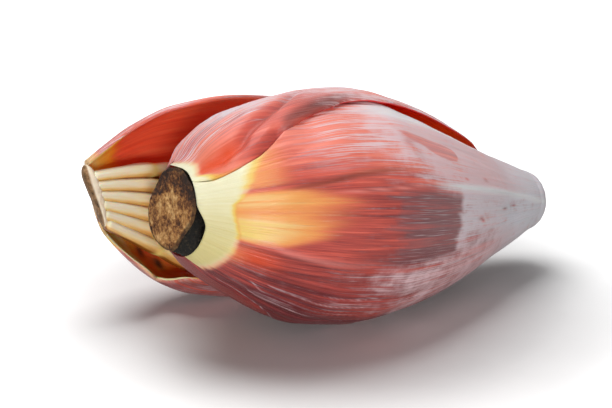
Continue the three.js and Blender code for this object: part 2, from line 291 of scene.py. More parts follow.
def bud_point(along, angle, depth):
    """Points in the row frame, in millimetres, of the skin at a depth below the bud's outside."""
    scale = 1.0 - depth / BUD_RADIUS
    x = SKIN_START * depth + along * (BUD_LENGTH - SKIN_SHORTER * depth) / BUD_LENGTH
    below = unit(-np.cos(np.radians(angle + 10))) ** 2
    pinch = UNDER_PINCH * bump(along - 24, 19) + NOSE_PINCH * bump(along - 206, 16)
    radius = (bud_radius(along) - pinch * below) * scale
    turn = math.pi * along / BUD_LENGTH
    snug = 1.0 - ramp(along, -3, 12)
    y = -radius * np.sin(np.radians(angle)) * lerp(1.0, STEM_FLATTENING, snug)
    z = radius * np.cos(np.radians(angle)) - BUD_SAG * np.sin(turn) + np.sin(2 * turn)
    floor = (x * math.sin(BUD_PITCH) - JUNCTION_HEIGHT) / math.cos(BUD_PITCH)
    return from_bud(x, y, np.maximum(z, floor))


def from_bud(x, y, z):
    level = x * math.cos(BUD_PITCH) + z * math.sin(BUD_PITCH)
    height = z * math.cos(BUD_PITCH) - x * math.sin(BUD_PITCH)
    return np.stack(np.broadcast_arrays(level, y, height), axis=-1) + BUD_ORIGIN


def bud_bract(name, end, start_margin, end_margin, depth, relief, thickness, steps, marks, materials):
    """A bract of the bud. Depth and relief are functions of along and angle."""
    rows, columns = steps
    even = eased(rows, 0.35)[:, None]
    first, last = start_margin(even * end), end_margin(even * end)
    angle = first + (last - first) * eased(columns, 0.6)[None, :]
    sleeve = SLEEVE * ramp(angle, -32, -10) * (1 - 0.36 * ramp(angle, -4, 26))
    sleeve = sleeve * fall(angle, 68, 100)
    along = even * end - sleeve * fall(even * end, 0, 18)
    thickness = thickness * lerp(0.5, 1.0, ramp(even * end, 0, 6))
    thickness = thickness * lerp(1.0, 0.5, ramp(even * end, 95, 165))
    reach = np.radians(np.minimum(angle - first, last - angle)) * np.maximum(bud_radius(along), 6.0)
    lie = depth(along, angle) - relief(along, angle)
    outside, inside = rounded_rim(lie, thickness, reach)
    outer = bud_point(along, angle, outside)
    inner = bud_point(along, angle, inside)
    return sheet(name, outer, inner, marks(along, angle), materials)


# By distance along: angles of margins and lines, and depths in millimetres. Some points here, and
# some of tongue_middle, are rounded from a scratch program's printout of where places in the
# photo fall on the bud.
front_upper_margin = curve(
    (0, 40), (3, 44), (6, 47), (10.5, 45.5), (13.6, 43.5), (19, 41), (24, 36.6), (31, 30.2), (37, 23.5),
    (44, 16), (60, 9), (83, 4), (115, -2), (150, -8), (175, -14), (190, -30), (BUD_LENGTH, -60),
)
front_lower_margin = curve(
    (0, 160), (6, 155), (11, 152.5), (17, 152.5), (27, 155), (40, 163), (65, 181), (95, 194),
    (150, 202), (190, 215), (BUD_LENGTH, 235),
)
hood_lip = curve(
    (0, 60), (18, 53), (26, 41), (31, 32.3), (36, 27.8), (41, 25.2), (47, 22.7), (53, 20.6), (60, 18.6),
    (70, 14.2), (80, 12), (95, 10.4), (115, 5), (135, 5), (150, 6), (160, 4.5), (168, 0), (175, -8),
    (184, -30), (195, -60), (206, -90),
)
under_hood = curve(
    (60, 2.3), (80, 2.0), (98, 1.5), (112, 2.4), (125, 2.7), (139, 3.2), (150, 3.0), (160, 2.3), (170, 1.5),
)
low_streak = curve((15, 118), (20, 121.6), (29, 129), (41, 130), (51, 131), (67, 131), (100, 127))
back_lower_margin = curve(
    (0, -216), (20, -222), (60, -200), (95, -178), (150, -170), (190, -140), (206, -95),
)
keel_line = curve((16, 62), (27, 64), (39, 68), (75, 66.5), (100, 64), (154, 63.5), (177, 65), (208, 75))
shadow_line = curve((8, 73), (17, 70), (31, 65), (44, 63), (58, 60), (77, 58), (110, 56))
lower_rib = curve((8, 98), (20, 98), (28, 101), (51, 104), (82, 102), (130, 104))
furrow_line = curve(
    (0, 33), (4.7, 32), (7, 31), (10.4, 28), (13.7, 26.6), (15.7, 24.5), (20, 19), (25, 15.5),
    (33, 10.5), (43, 3.3), (57, -8), (75, -14),
)
crest_height = curve(
    (4, 0), (20, -1.3), (40, -0.8), (53, -0.9), (65, 0.2), (85, 1.6), (98, 2.9), (112, 4.0), (128, 4.7),
    (139, 4.5), (147, 4.0), (155, 3.1), (163, 1.9), (170, 0.6), (177, -1.2), (186, -2.4), (206, -2.4),
)


def millimetres_from(line, along, angle):
    return np.radians(angle - line(along)) * bud_radius(along)


def ribs(along, angle, seed):
    """Soft ribs and finer veins that run from the base to the nose."""
    fade_in = ramp(along, 5, 28)
    fade_out = 1.0 - 0.7 * ramp(along, 120, 190)
    wide = streaks(angle, along, 6.5, 75, seed) * 0.42
    fine = streaks(angle, along, 1.9, 45, seed + 1) * 0.16
    swell = streaks(angle, along, 26, 60, seed + 2) * 0.5
    furrows = -0.5 * bump(streaks(angle, along, 4.6, 65, seed + 3), 0.16)
    return fade_in * fade_out * (wide + fine + furrows) + fade_in * swell


def front_depth(along, angle):
    hooded = span(along, 29, 44, 182, 192)
    under_lip = fall(angle, hood_lip(along) + 2, hood_lip(along) + 24)
    return hooded * under_lip * under_hood(along)


def front_relief(along, angle):
    keel = crease(millimetres_from(keel_line, along, angle), 5.0) * ramp(along, 22, 60)
    keel = keel * (0.9 + 0.7 * ramp(along, 110, 170) - 1.6 * ramp(along, 192, 208))
    edge = crease(millimetres_from(keel_line, along, angle), 1.8) * ramp(along, 112, 140)
    keel = keel + 0.6 * edge * fall(along, 196, 210)
    shadow = bump(millimetres_from(shadow_line, along, angle), 1.3) * span(along, 12, 24, 60, 100)
    rib = bump(millimetres_from(lower_rib, along, angle), 2.4) * span(along, 10, 20, 50, 100)
    return ribs(along, angle, 11) + keel - 0.6 * shadow + 0.6 * rib


def back_depth(along, angle):
    upper = front_upper_margin(along)
    lower = front_lower_margin(along) - 360
    tuck_start = upper - lerp(1.0, 9.0, ramp(along, -1, 9))
    tuck_end = tuck_start + lerp(4.0, 8.0, ramp(along, -1, 9))
    tuck_top = ramp(angle, tuck_start, tuck_end) * fall(along, 27, 33)
    flush = fall(along, 70, 90)
    tuck_belly = fall(angle, lower + lerp(3, -3, flush), lower + lerp(13, 4, flush))
    lobe = span(along, 0, 8, 12, 34) * ramp(angle, -75, -20) * fall(angle, 0, 30)
    at_lip = lerp(0.15, 0.7, ramp(along, 75, 105))
    crest = crest_height(along) * ramp(angle, -65, -15) * lerp(1.0, at_lip, ramp(angle, -8, 16))
    return UNDERLAP_DEPTH * np.maximum(tuck_top, tuck_belly) - LOBE_RISE * lobe - crest


def back_relief(along, angle):
    off = millimetres_from(furrow_line, along, angle)
    present = span(along, 1, 7, 44, 72)
    valley = 1.35 * bump(off, 2.8) * present
    shoulder = bump(off - 7.5, 5.0) * present * ramp(along, 10, 18)
    left = bump(off + 7.0, 4.5) * present * fall(along, 30, 50)
    pucker = streaks(angle, along, 4.2, 26, 31) * span(angle, -70, -40, -12, 12)
    pucker = pucker * span(along, 1, 6, 22, 50)
    hood = bump(millimetres_from(hood_lip, along, angle) + 7, 6.0) * ramp(along, 32, 44)
    hood = hood * fall(along, 70, 110)
    low_ribs = ribs(along, angle, 21) * lerp(0.4, 1.0, ramp(along, 40, 90))
    return low_ribs - 1.9 * valley + 0.5 * shoulder + 0.7 * left + 0.9 * pucker + 1.1 * hood


# -------- what the bracts' skin shows
collar_reach = curve(
    (30, 21), (41, 18), (49, 14.5), (56, 12.8), (68, 9.4), (75, 7.4), (85, 7.8), (96, 9.2), (109, 9),
    (124, 8), (137, 7), (150, 5.5), (160, 5),
)
collar_softness = curve((30, 9), (56, 6), (72, 2.4), (90, 2.0), (110, 3.2), (130, 3.6))
flame_heat = curve(
    (62, 0), (66, 0.5), (69, 0.78), (74, 0.72), (78, 0.54), (82, 0.66), (86, 0.9), (91, 0.97),
    (95, 1.0), (98, 0.8), (100, 0.38), (102, 0.2), (110, 0.4), (125, 0.15), (135, 0),
)
flame_reach = curve(
    (62, 30), (68, 66), (76, 82), (82, 76), (88, 62), (94, 50), (99, 38), (104, 28), (125, 20),
)
# Deeper red towards the belly: partly the bract's own colour, partly painted shade on the underside.
front_tone_and_shade = curve(
    (0, 0.08), (35, 0.1), (50, 0.2), (58, 0.34), (66, 0.5), (80, 0.5), (100, 0.58), (108, 0.7),
    (134, 0.74), (148, 1.0), (200, 1.0),
)
tongue_middle = curve((84, 35.5), (95, 38), (105, 40), (116, 42), (128, 42.5))
tongue_half_width = curve((84, 1.0), (98, 2.6), (110, 4.4), (119, 5.4), (124, 4.8), (128, 0.5))
# Place along, angle and size of small scuffs.
SCUFFS = ((146, 56, 2.0), (139, 82, 2.6), (141, 84, 1.6), (163, 77, 2.4), (173, 75, 2.2), (128, 58, 1.6))


def ragged_patch(along, angle, along_range, angle_range, seed):
    """1 inside a patch, 0 outside it: broken at its left end, cleaner at its right end."""
    fray = streaks(angle, along, 1.6, 9, seed) * 5.0 + streaks(angle, along, 5, 30, seed + 1) * 4.0
    begin, end = along_range
    low, high = angle_range
    started = ramp(along + 1.4 * fray, begin - 4, begin + 4)
    ended = ramp(along + 0.45 * fray, end - 2.5, end + 2.5)
    t = angle + 0.25 * fray
    return started * (1 - ended) * span(t, low - 3, low + 3, high - 3, high + 3)


# Strengths, mostly from 0 to 1. The seam mark is millimetres from the nearest thin line.
# Some marks paint light: the white line and the pink highlight mark are painted highlights, and the dark
# mark is painted shade, except for the loose bract's own spots.
MARKS = (
    "cream", "warm", "deep", "pale", "dark", "bloom", "rub", "grey", "line", "bright", "glow",
    "ember", "vein", "bare",
)
NO_LINE = 9.0                 # seam where no line is near


def nearest_line(*lines):
    """Millimetres from the nearest of some (offset, presence) lines, more where a line fades."""
    return np.minimum.reduce([np.abs(off) + 2.5 * (1 - presence) for off, presence in lines])


def bract_marks(along, angle, **given):
    """Every mark that a bract's materials read: those given, and the rest blank."""
    return {"along": along, "angle": angle, "seam": NO_LINE, **dict.fromkeys(MARKS, 0.0), **given}


def front_marks(along, angle):
    wander = streaks(angle, along, 2.6, 40, 41)
    reach, soft = collar_reach(angle), collar_softness(angle)
    cream = fall(along + 0.12 * soft * wander, reach - 0.9 * soft, reach + 0.9 * soft)
    flame_end = flame_reach(angle) * (1 + 0.1 * wander)
    fading = unit((along - 8) / (flame_end - 8))
    warm = flame_heat(angle) * (1 - 0.25 * fading - 0.75 * ramp(fading, 0.1, 1.0))
    glow = 0.46 * span(angle, 26, 36, 60, 66) * fall(along, 14, 40)
    warm = np.maximum(warm, glow)
    deep = front_tone_and_shade(angle) + 0.25 * ramp(along, 50, 100) * span(angle, 60, 70, 100, 110)
    low = ramp(angle, 112, 124)
    deep = deep + 0.2 * ramp(along, 16, 34) * ramp(angle, 104, 108) * fall(along, 34, 70)
    # Painted shade: a dark line above the flame, where a rib shades the bract.
    dark = bump(millimetres_from(shadow_line, along, angle), 1.4) * span(along, 17, 26, 70, 110)
    keel = millimetres_from(keel_line, along, angle)
    pale = 0.95 * fall(angle, 42, 64) * ramp(along, 24, 58)
    rib = bump(millimetres_from(lower_rib, along, angle), 1.5) * span(along, 12, 20, 44, 80)
    # Painted highlight: a pink line along the keel, and on the lower rib.
    bright = 0.7 * bump(keel - 0.5, 0.6) * span(along, 40, 60, 84, 108) + 0.45 * rib
    middle = span(angle, 63, 68, 100, 108)
    bloom = lerp(0.08 + 0.86 * ramp(along, 62, 138), 0.05 + 0.9 * ramp(along, 96, 122), middle)
    # More bloom over the top: partly the bract's own wax, partly painted highlight where the top faces the
    # light.
    bloom = bloom + 0.5 * ramp(along, 46, 90) * fall(angle, 45, 62)
    bloom = bloom + 0.26 * bump(along - 78, 22) * bump(angle - 111, 8)
    edging = bump(millimetres_from(front_lower_margin, along, angle) + 1.2, 1.2) * ramp(along, 8, 18)
    from_streak = millimetres_from(low_streak, along, angle)
    fades = fall(along, 66, 100)
    seam = nearest_line(
        (from_streak, ramp(along, 18, 30) * fades), (from_streak - 6.5, ramp(along, 12, 24) * fades),
        (from_streak - 12.5, span(along, 14, 26, 54, 84)),
        (from_streak + 5.5, ramp(along, 40, 56) * fades),
        (millimetres_from(front_lower_margin, along, angle) + 1.0, ramp(along, 6, 14) * fades),
    )
    # Painted highlight: the crest under the hood lip gets more bloom and the white line mark.
    crest_highlight = fall(angle, 21, 30) * span(along, 68, 94, 150, 180)
    bloom = bloom + 0.4 * crest_highlight
    flushed = ramp(angle, 78, 96) * span(along, 108, 122, 146, 172)
    bloom = bloom - 0.3 * flushed
    rub = ragged_patch(along, angle, (78, 121), (67, 102), 51)
    worn = 0.18 * ramp(rub, 0.2, 0.8)
    off_tongue = np.abs(angle - tongue_middle(along)) - tongue_half_width(along)
    tongue = fall(off_tongue + 1.0 * wander, -1.5, 1.3) * span(along, 84, 94, 126.5, 128)
    mottle = bump(along - 92, 5.5) * bump(angle - 42, 5.0)
    worn = worn + 0.12 * tongue + 0.15 * mottle
    bare = unit(0.9 * tongue + 0.6 * mottle)
    for place, turn, size in SCUFFS:
        rub = np.maximum(rub, bump(along - place, size) * bump(angle - turn, 0.5 * size))
    # Painted shade: less bloom low on the belly, away from the lower margin.
    bloom = bloom * (1 - 0.5 * ramp(angle, 136, 150) * (1 - edging))
    return bract_marks(
        along, angle, cream=cream, warm=warm, deep=deep + worn, bare=bare, seam=seam, dark=dark,
        vein=0.3 * low * span(along, 10, 24, 70, 110),
        pale=unit(pale * (1 - bare)), bloom=unit(bloom), rub=rub,
        grey=unit(0.7 * span(angle, 58, 72, 84, 108) + ramp(along, 150, 200)), bright=bright,
        # Painted highlight: white along the keel and over the crest.
        line=np.maximum(bump(keel, 1.5) * ramp(along, 92, 124), 0.85 * crest_highlight),
        ember=0.75 * bump(angle - 111, 7) * bump(along - 17, 9),
    )


def back_marks(along, angle):
    wander = streaks(angle, along, 2.6, 40, 61)
    off = millimetres_from(furrow_line, along, angle)
    reach = lerp(-3.6, -0.6, ramp(angle, -12, 18)) + 2.4 * ramp(angle, 34, 40) - 1.0 * bump(off, 3.0)
    cream = fall(along + 0.3 * wander, reach - 2.6, reach + 3.4)
    from_margin = millimetres_from(front_upper_margin, along, angle)
    beside = bump(from_margin, 2.4) * fall(along, 9, 18)
    near = ramp(angle, -75, -45)
    left = near * fall(angle, -24, 2)
    base_glow = fall(along, 2, 26) * ramp(angle, -22, 4)
    ember = bump(off + 0.6, 4.2) * fall(along, 8, 18)
    wrinkles = near * fall(angle, 0, 18) * span(along, -5, 0, 22, 46)
    # Painted shade: the furrow, the strip right of it, a band under the hood lip and one beside the front
    # bract's margin get deeper red, and the furrow and the lip band are darkened too.
    furrow_shade = bump(off, 3.2) * span(along, 7, 16, 50, 75)
    right = ramp(off, 0, 5)
    lip_shade = bump(millimetres_from(hood_lip, along, angle) + 3, 3.4) * span(along, 28, 38, 70, 95)
    margin_shade = bump(from_margin + 2.2, 2.6) * span(along, 14, 22, 26, 36)
    deep = 0.06 + 0.26 * right * span(along, 8, 18, 60, 80) + 0.4 * furrow_shade
    deep = deep + 0.5 * lip_shade + 0.25 * margin_shade + 0.15 * ramp(along, 30, 60) + 0.8 * (1 - near)
    bloom = 0.05 + 0.3 * left * ramp(along, 1, 8) + 0.5 * ramp(along, 44, 84) * near
    bloom = bloom + 0.55 * bump(along - 36, 15) * near * fall(off, -9, -3)
    bloom = bloom + 0.25 * ramp(along, 110, 170)
    brow = bump(along - 66, 20) * near * fall(angle, -2, 14)
    bloom = bloom + 0.35 * brow
    pale = 0.5 * left * ramp(along, 2, 8) + 0.5 * ramp(along, 50, 76) * near * (1 - left)
    pale = pale + 0.4 * bump(along - 34, 13) * near * fall(off, -9, -3)
    return bract_marks(
        along, angle, cream=np.maximum(cream, 0.35 * beside), pale=pale, ember=ember,
        warm=np.maximum(0.24 * base_glow, 0.62 * beside), deep=unit(deep),
        dark=unit(0.2 * furrow_shade + 0.5 * lip_shade), bloom=unit(bloom),
        grey=0.1 + 0.45 * ramp(along, 60, 120) + 0.5 * wrinkles, vein=1.6 * wrinkles,
    )


def plain_marks(along, angle):
    return bract_marks(
        along, angle, cream=fall(along, 12, 60), deep=0.35 + 0.3 * ramp(along, 60, 180),
        pale=0.3, bloom=0.25 * ramp(along, 120, 200),
    )


# -------- node materials
def colour(text):
    """Linear RGBA from a hexadecimal display colour."""
    srgb = [int(text[i:i + 2], 16) / 255 for i in (1, 3, 5)]
    linear = [c / 12.92 if c <= 0.04045 else ((c + 0.055) / 1.055) ** 2.4 for c in srgb]
    return (*linear, 1.0)


class Recipe:
    """The nodes of a material or a world, put together socket by socket."""

    def __init__(self, owner):
        owner.use_nodes = True
        self.owner = owner
        self.tree = owner.node_tree
        self.tree.nodes.clear()

    def plug(self, socket, value):
        if isinstance(value, bpy.types.NodeSocket):
            self.tree.links.new(value, socket)
        else:
            socket.default_value = colour(value) if isinstance(value, str) else value

    def add(self, kind, inputs=None, **settings):
        node = self.tree.nodes.new(kind)
        for key, value in settings.items():
            setattr(node, key, value)
        for key, value in (inputs or {}).items():
            self.plug(node.inputs[key], value)
        return node

    def mark(self, name):
        return self.add("ShaderNodeAttribute", attribute_name=name).outputs["Fac"]

    def maths(self, operation, a, b=0.0, clamp=False):
        return self.add("ShaderNodeMath", {0: a, 1: b}, operation=operation, use_clamp=clamp).outputs[0]

    def times(self, a, b):
        return self.maths("MULTIPLY", a, b)

    def plus(self, *terms):
        total = terms[0]
        for term in terms[1:]:
            total = self.maths("ADD", total, term)
        return total

    def spread(self, value, low, high, to_low=0.0, to_high=1.0):
        inputs = {"Value": value, "From Min": low, "From Max": high, "To Min": to_low, "To Max": to_high}
        return self.add("ShaderNodeMapRange", inputs, interpolation_type="SMOOTHSTEP").outputs[0]

    def noise(self, vector, detail=2.0, roughness=0.5):
        inputs = {"Vector": vector, "Scale": 1.0, "Detail": detail, "Roughness": roughness}
        return self.add("ShaderNodeTexNoise", inputs).outputs["Fac"]

    def streak(self, cell_angle, cell_along, seed, detail=2.0):
        """Noise in cells that are long along the ribs, from 0 to 1."""
        across = self.maths("DIVIDE", self.mark("angle"), cell_angle)
        down = self.maths("DIVIDE", self.mark("along"), cell_along)
        vector = self.add("ShaderNodeCombineXYZ", {0: across, 1: down, 2: seed}).outputs[0]
        return self.noise(vector, detail)

    def place(self, scale, seed):
        """Position on the object in cells, scale of them to a metre, for noise with no direction."""
        position = self.add("ShaderNodeTexCoord").outputs["Object"]
        inputs = {"Vector": position, "Location": (seed, 0, 0), "Scale": (scale, scale, scale)}
        return self.add("ShaderNodeMapping", inputs).outputs[0]

    def centred(self, noise):
        """Noise from 0 to 1 moved to lie about zero."""
        return self.maths("SUBTRACT", noise, 0.5)

    def mix(self, factor, a, b):
        node = self.add("ShaderNodeMix", data_type="RGBA", blend_type="MIX", clamp_factor=True)
        self.plug(node.inputs[0], factor)
        self.plug(node.inputs[6], a)
        self.plug(node.inputs[7], b)
        return node.outputs[2]

    def ramp(self, value, *stops):
        node = self.add("ShaderNodeValToRGB", {"Fac": value})
        elements = node.color_ramp.elements
        while len(elements) < len(stops):
            elements.new(0.5)
        for element, (position, text) in zip(elements, stops):
            element.position = position
            element.color = colour(text)
        return node.outputs["Color"]

    def finish(self, base, roughness, height, relief, specular, subsurface=0.0, coat=0.0, reach=0.003):
        """Relief is the height of the bump in millimetres, reach how far light spreads in metres."""
        bumps = {"Height": height, "Distance": relief * MM, "Strength": 1.0}
        inputs = {
            "Base Color": base, "Roughness": roughness, "Specular IOR Level": specular,
            "Subsurface Weight": subsurface, "Subsurface Radius": (1.0, 0.45, 0.25),
            "Subsurface Scale": reach, "Coat Weight": coat, "Coat Roughness": 0.3,
            "Normal": self.add("ShaderNodeBump", bumps).outputs[0],
        }
        shader = self.add("ShaderNodeBsdfPrincipled", inputs)
        self.add("ShaderNodeOutputMaterial", {"Surface": shader.outputs[0]})
        return self.owner


def bract_skin(name, seed, streaky=1.0):
    """The outside of a bract: cream collar, flame of orange, ribbed red flesh, waxy lilac bloom, with
    painted shade in creases and painted highlights along the keel and the crest.
    """
    r = Recipe(bpy.data.materials.new(name))
    wide = r.centred(r.streak(2.6, 60, seed, 2))
    fine = r.centred(r.streak(0.8, 28, seed + 1, 3))
    hair = r.centred(r.streak(0.3, 14, seed + 2, 2))
    patch = r.centred(r.streak(9, 26, seed + 3, 3))

    depth = r.plus(
        r.mark("deep"), r.times(wide, 1.5 * streaky), r.times(fine, 0.9 * streaky), r.times(patch, 0.3),
    )
    flesh = r.ramp(depth, (0.0, "#ff8e7a"), (0.3, "#e46656"), (0.6, "#b64c44"), (1.0, "#742f31"))
    paleness = r.spread(r.plus(wide, r.times(fine, 1.1), r.times(hair, 0.4)), -0.06, 0.16)
    flesh = r.mix(r.times(r.mark("pale"), paleness), flesh, "#fbd2d2")
    # Painted shade: the dark mark browns the line above the flame, the back bract's furrow and the band
    # under its hood lip.
    flesh = r.mix(r.times(r.mark("dark"), 0.7), flesh, "#7d3a28")

    heat = r.plus(r.mark("warm"), r.times(r.times(wide, 0.8), r.mark("warm")), r.times(fine, 0.16))
    flame = r.ramp(
        heat, (0.1, "#dc6a52"), (0.32, "#f58f5a"), (0.58, "#ffae62"), (0.82, "#ffcf84"), (1.0, "#ffdb78"),
    )
    skin = r.mix(r.spread(heat, 0.04, 0.5), flesh, flame)
    skin = r.mix(r.mark("ember"), skin, "#e64c14")

    creaminess = r.plus(r.mark("cream"), r.times(r.times(fine, 0.12), r.mark("cream")))
    veined = r.plus(r.times(r.mark("angle"), 0.012), r.times(wide, 0.7), r.times(fine, 0.4))
    pith = r.mix(r.spread(veined, 0.45, 1.5), "#fff9d4", "#eadb96")
    hot_edge = r.ramp(creaminess, (0.1, "#f8a450"), (0.4, "#fbd068"), (0.7, "#fae48e"))
    cool_edge = r.ramp(creaminess, (0.1, "#f79c7c"), (0.4, "#f9c294"), (0.7, "#f8e2b0"))
    edge = r.mix(r.spread(r.mark("warm"), 0.25, 0.5), cool_edge, hot_edge)
    cream = r.mix(r.spread(creaminess, 0.5, 0.95), edge, pith)
    skin = r.mix(r.spread(creaminess, 0.03, 0.42), skin, cream)

    cloud = r.centred(r.noise(r.place(150, seed), 4, 0.6))
    calm = r.spread(r.mark("along"), 96, 150, 1.0, 0.4)
    streaked = r.plus(r.times(wide, 0.7), r.times(fine, 1.4), r.times(hair, 0.8), r.times(patch, 0.8))
    unevenness = r.plus(r.times(streaked, calm), r.times(cloud, 0.9))
    film = r.plus(r.mark("bloom"), r.times(unevenness, r.plus(0.45, r.mark("bloom"))))
    lines = r.maths("ABSOLUTE", r.centred(r.streak(4.2, 70, seed + 4, 1)))
    film = r.plus(film, r.times(r.mark("vein"), r.spread(lines, 0.0, 0.045, 0.7, 0.0)))
    thin = r.plus(r.mark("seam"), r.times(fine, 1.6), r.times(hair, 0.8))
    film = r.plus(film, r.spread(thin, 0.1, 1.3, 0.32, 0.0))
    folds = r.maths("ABSOLUTE", r.centred(r.streak(4.2, 70, seed + 6, 1)))
    skin = r.mix(r.times(r.mark("vein"), r.spread(folds, 0.0, 0.05, 0.42, 0.0)), skin, "#8a3f5e")
    film = r.spread(film, 0.1, 0.95, 0.0, 0.9)
    scraped = r.spread(r.plus(fine, r.times(hair, 0.7), r.times(wide, 0.4)), 0.04, 0.36, 0.05, 0.54)
    film = r.mix(r.mark("rub"), film, scraped)
    bareness = r.plus(r.mark("bare"), r.times(fine, 0.9), r.times(cloud, 0.5))
    film = r.times(film, r.spread(bareness, 0.25, 0.7, 1.0, 0.34))
    film = r.times(film, r.maths("SUBTRACT", 1.0, creaminess, True))
    wax = r.mix(r.mark("grey"), "#fbdade", "#f0eff6")
    skin = r.mix(film, skin, wax)
    # Painted highlight in pink, along the keel and the lower rib.
    skin = r.mix(r.mark("bright"), skin, "#f79a90")
    # Painted highlight: near-white along the keel and over the crest.
    skin = r.mix(r.mark("line"), skin, "#fdfbfd")

    roughness = r.plus(0.38, r.times(film, 0.3))
    height = r.plus(r.times(fine, 1.0), r.times(hair, 0.4), r.times(wide, 1.2))
    return r.finish(skin, roughness, height, 0.3, specular=0.35, subsurface=0.08)


def bract_lining(name, seed, glossy=0.0, thin=0.15, reach=0.003, crimson=0.0):
    """The inside of a bract: smooth, wet-looking red with long streaks, orange at its base, with painted
    shade in hollows and creases and a band of painted light along the loose bract's low rim.
    """
    r = Recipe(bpy.data.materials.new(name))
    wide = r.centred(r.streak(5, 70, seed, 2))
    fine = r.centred(r.streak(1.4, 40, seed + 1, 3))
    depth = r.plus(r.mark("deep"), r.times(wide, 1.0), r.times(fine, 0.4))
    flesh = r.ramp(depth, (0.0, "#f87a52"), (0.35, "#ee5e3c"), (0.7, "#d44c32"), (1.0, "#aa3c26"))
    flesh = r.mix(r.times(r.mark("pale"), 0.9), flesh, "#e8867e")
    # The glow mark: orange towards the base, and on the loose bract a band of painted light along its low
    # rim.
    heat = r.plus(r.mark("glow"), r.times(fine, 0.25))
    flame = r.ramp(heat, (0.2, "#e0682e"), (0.5, "#fba02e"), (0.8, "#ffbe50"), (1.0, "#fde8b0"))
    skin = r.mix(r.spread(heat, 0.1, 0.5), flesh, flame)
    # Painted shade: the dark mark darkens the loose bract's hollow and the other bracts' creases and
    # furrow; on the loose bract it also holds the bract's own dark spots.
    skin = r.mix(r.mark("dark"), skin, "#4a2408")
    skin = r.mix(r.spread(r.mark("along"), 4, 24, 0.0, crimson), skin, "#e01c2c")
    skin = r.mix(r.spread(r.mark("along"), -4, 8, 0.85, 0.0), skin, "#f2cba4")
    skin = r.mix(r.mark("cream"), skin, "#f4e4b4")
    return r.finish(skin, 0.34, fine, 0.2, specular=0.4, subsurface=thin, coat=glossy, reach=reach)


def stem_wood(name):
    """A dried cut: tan pith and dark brown mottling on the face, near-black on the flank."""
    r = Recipe(bpy.data.materials.new(name))
    blotch = r.centred(r.noise(r.place(120, 3.0), 6, 0.7))
    grain = r.centred(r.noise(r.place(700, 7.0), 3, 0.65))
    mottled = r.plus(0.5, r.times(blotch, 1.9), r.times(grain, 0.8), r.times(r.mark("shade"), -0.26))
    face = r.ramp(mottled, (0.2, "#33231c"), (0.38, "#7c5032"), (0.55, "#c08a52"), (0.8, "#f0c486"))
    crust = r.ramp(r.plus(0.5, grain), (0.35, "#0f0f0d"), (0.58, "#1f1c18"), (0.72, "#4a4030"))
    rim = r.spread(r.plus(r.mark("rim"), r.times(blotch, 0.8)), 0.2, 0.9, 0.0, 0.75)
    surface = r.mix(rim, face, "#2b221d")
    surface = r.mix(r.mark("face"), crust, surface)
    height = r.plus(blotch, r.times(grain, 0.7))
    return r.finish(surface, 0.82, height, 1.4, specular=0.2)


def floret_skin(name):
    """Waxy cream, with painted shade that makes it browner low down and between the florets, and a yellow
    joint.
    """
    r = Recipe(bpy.data.materials.new(name))
    fine = r.centred(r.streak(20, 9, 5.0, 3))
    tone = r.plus(r.mark("shade"), r.times(fine, 0.35))
    skin = r.ramp(tone, (0.0, "#fff4d8"), (0.26, "#fde2aa"), (0.5, "#ecb968"), (0.95, "#935218"))
    skin = r.mix(r.mark("joint"), skin, "#fade82")
    skin = r.mix(r.mark("tip"), skin, "#e8c06a")
    return r.finish(skin, 0.38, fine, 0.15, specular=0.4, subsurface=0.35)


def cushion_skin(name):
    """Cream pad of the florets, and the dried brown scar it was torn from."""
    r = Recipe(bpy.data.materials.new(name))
    blotch = r.noise(r.place(300, 1.0), 4, 0.6)
    wood = r.ramp(blotch, (0.32, "#33261e"), (0.48, "#80603f"), (0.66, "#b8906a"))
    pad = r.ramp(blotch, (0.3, "#f4dfc0"), (0.7, "#fff2d8"))
    skin = r.mix(r.mark("scar"), pad, wood)
    return r.finish(skin, 0.6, blotch, 0.5, specular=0.25, subsurface=0.05)


# -------- pieces of the bud
def show(piece, slot, *nodes):
    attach(piece, "root")
    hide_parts(*nodes)


def build_bud():
    front_skin = bract_skin("front_bract_skin", 1.0)
    back_skin = bract_skin("back_bract_skin", 2.0, streaky=0.5)
    lining = bract_lining("bract_lining", 3.0)
    hood_lining = bract_lining("hood_lining", 7.0, thin=0.9, reach=0.009, crimson=0.85)
    front = bud_bract(
        "front_bract_skin", BUD_LENGTH, front_upper_margin, front_lower_margin, front_depth,
        front_relief, BRACT_THICKNESS, (230, 170), front_marks, [front_skin, lining],
    )
    show(front, "bract_red", "front_bract")
    back = bud_bract(
        "back_bract_skin", BACK_BRACT_END, back_lower_margin, hood_lip, back_depth,
        back_relief, BRACT_THICKNESS, (210, 190), back_marks, [back_skin, hood_lining],
    )
    show(back, "bract_red", "back_bract")

    inner_skin = bract_skin("inner_bract_skin", 4.0)
    half_width = curve((0, 150), (120, 140), (190, 125), (BUD_LENGTH, 115))
    for number, (depth, middle) in enumerate(INNER_BRACTS, start=1):
        piece = bud_bract(
            f"inner_bract_{number}_skin", BUD_LENGTH,
            lambda along: middle - half_width(along), lambda along: middle + half_width(along),
            lambda along, angle: depth - NOSE_PACKING * ramp(along, 188, NOSE_START),
            lambda along, angle: 0.5 * ribs(along, angle, 70 + number),
            INNER_THICKNESS, (90, 90), plain_marks, [inner_skin, lining],
        )
        show(piece, "bract_inner", f"inner_bract_{number}")

    along = eased(70)[:, None] * BUD_LENGTH
    angle = np.linspace(360, 0, 72, endpoint=False)[None, :]
    along, angle = np.broadcast_arrays(along, angle)
    depth = HEART_DEPTH - NOSE_PACKING * ramp(along, 188, NOSE_START) - 0.4 * ribs(along, angle, 81)
    rings = bud_point(along, angle, depth)[:, ::-1]
    heart = tube("bud_heart_skin", rings, plain_marks(along, angle), [inner_skin])
    show(heart, "bract_inner", "bud_heart")


